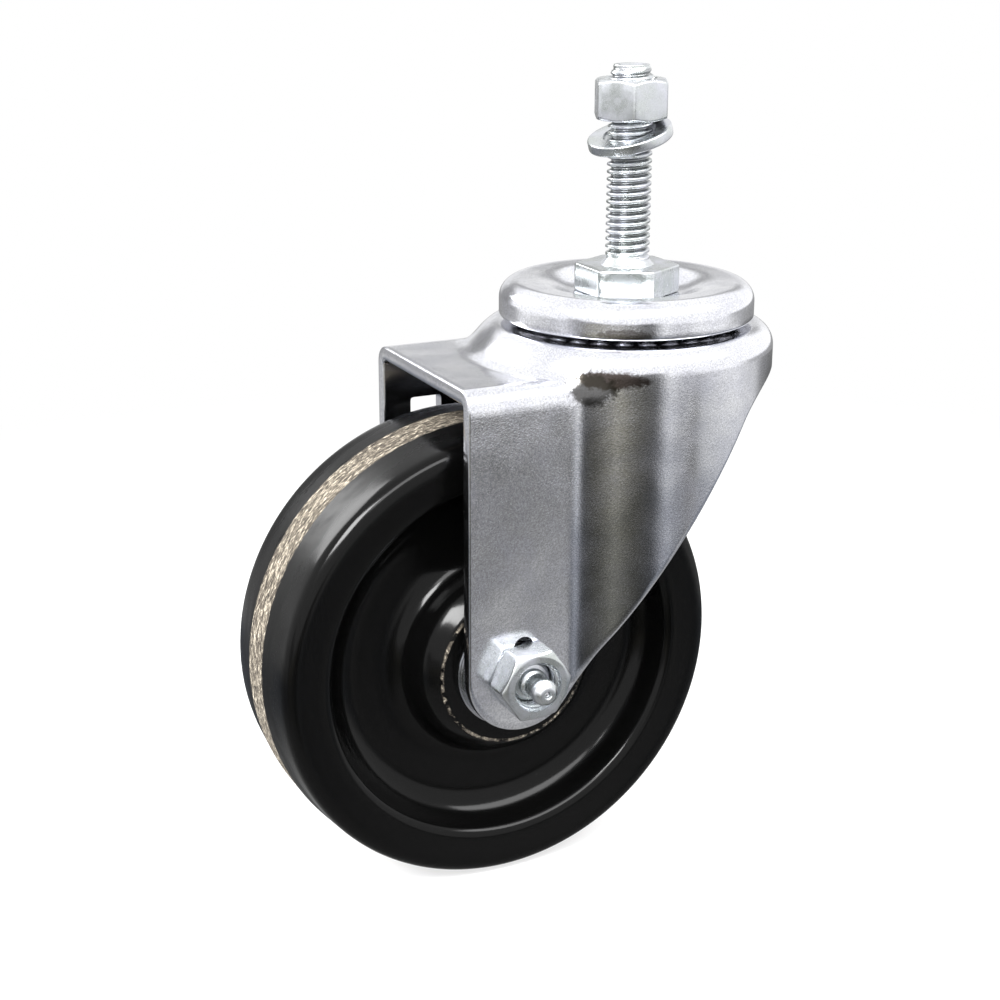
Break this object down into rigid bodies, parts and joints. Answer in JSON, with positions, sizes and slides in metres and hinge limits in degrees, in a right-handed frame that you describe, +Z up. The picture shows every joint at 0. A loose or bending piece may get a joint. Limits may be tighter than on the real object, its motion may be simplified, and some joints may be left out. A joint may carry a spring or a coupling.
{
  "type": "threaded stem castor",
  "caption": "Swivel castor with a threaded stem, zinc-plated pressed fork, ball-race swivel head, greased roller bearing and a hard moulded wheel.",
  "frame": {"origin": "centre of the hex shoulder's top face, where the stem leaves it", "axes": "+Z up the stem, Y along the axle with the greased nut end towards -Y, wheel trailing towards -X"},
  "size_m": [0.1188, 0.0676, 0.1731],
  "materials": {
    "zinc_sheet": "bright zinc plate, fine grain",
    "zinc_stem": "bright zinc plate",
    "zinc_fastener": "bright zinc plate",
    "bearing_steel": "ground and oiled",
    "phenolic": "gloss black moulding"
  },
  "bodies": {
    "stem_unit": {"stem_bolt": "zinc_stem", "top_cap": "zinc_sheet", "lower_race": "zinc_sheet"},
    "fork_unit": {"fork": "zinc_sheet", "axle_bolt": "zinc_fastener", "axle_nut": "zinc_fastener", "grease_fitting": "zinc_fastener", "check_ball": "bearing_steel", "axle_bushing": "bearing_steel", "near_thrust_washer": "zinc_fastener", "far_thrust_washer": "zinc_fastener"},
    "upper_ball_ring": {"upper_balls": "bearing_steel"},
    "lower_ball_ring": {"lower_balls": "bearing_steel"},
    "wheel_unit": {"wheel": "phenolic", "bearing_race": "bearing_steel", "near_hub_disc": "bearing_steel", "far_hub_disc": "bearing_steel"},
    "roller_ring": {"roller_cage": "bearing_steel", "bearing_rollers": "bearing_steel"},
    "washer_unit": {"lock_washer": "zinc_fastener"},
    "nut_unit": {"stem_nut": "zinc_fastener"}
  },
  "joints": [
    {"name": "swivel", "type": "hinge", "parent": "stem_unit", "child": "fork_unit", "pos_m": [0, 0, 0], "axis": [0, 0, 1], "continuous": true},
    {"name": "upper_ball_orbit", "type": "hinge", "parent": "stem_unit", "child": "upper_ball_ring", "pos_m": [0, 0, 0], "axis": [0, 0, 1], "continuous": true},
    {"name": "lower_ball_orbit", "type": "hinge", "parent": "stem_unit", "child": "lower_ball_ring", "pos_m": [0, 0, 0], "axis": [0, 0, 1], "continuous": true},
    {"name": "wheel_spin", "type": "hinge", "parent": "fork_unit", "child": "wheel_unit", "pos_m": [-0.036, 0, -0.0803], "axis": [0, 1, 0], "continuous": true},
    {"name": "roller_orbit", "type": "hinge", "parent": "fork_unit", "child": "roller_ring", "pos_m": [-0.036, 0, -0.0803], "axis": [0, 1, 0], "continuous": true},
    {"name": "washer_travel", "type": "slide", "parent": "stem_unit", "child": "washer_unit", "axis": [0, 0, 1], "range_m": [-0.0232, 0.0321]},
    {"name": "nut_turn", "type": "hinge", "parent": "washer_unit", "child": "nut_unit", "pos_m": [0, 0, 0.0349], "axis": [0, 0, 1], "range_deg": [-5220, 7257]}
  ],
  "couplings": [
    {"joint": "upper_ball_orbit", "follows": "swivel", "ratio": 0.5},
    {"joint": "lower_ball_orbit", "follows": "swivel", "ratio": 0.5},
    {"joint": "roller_orbit", "follows": "wheel_spin", "ratio": 0.6095},
    {"joint": "washer_travel", "follows": "nut_turn", "m_per_rad": 0.00025266}
  ]
}
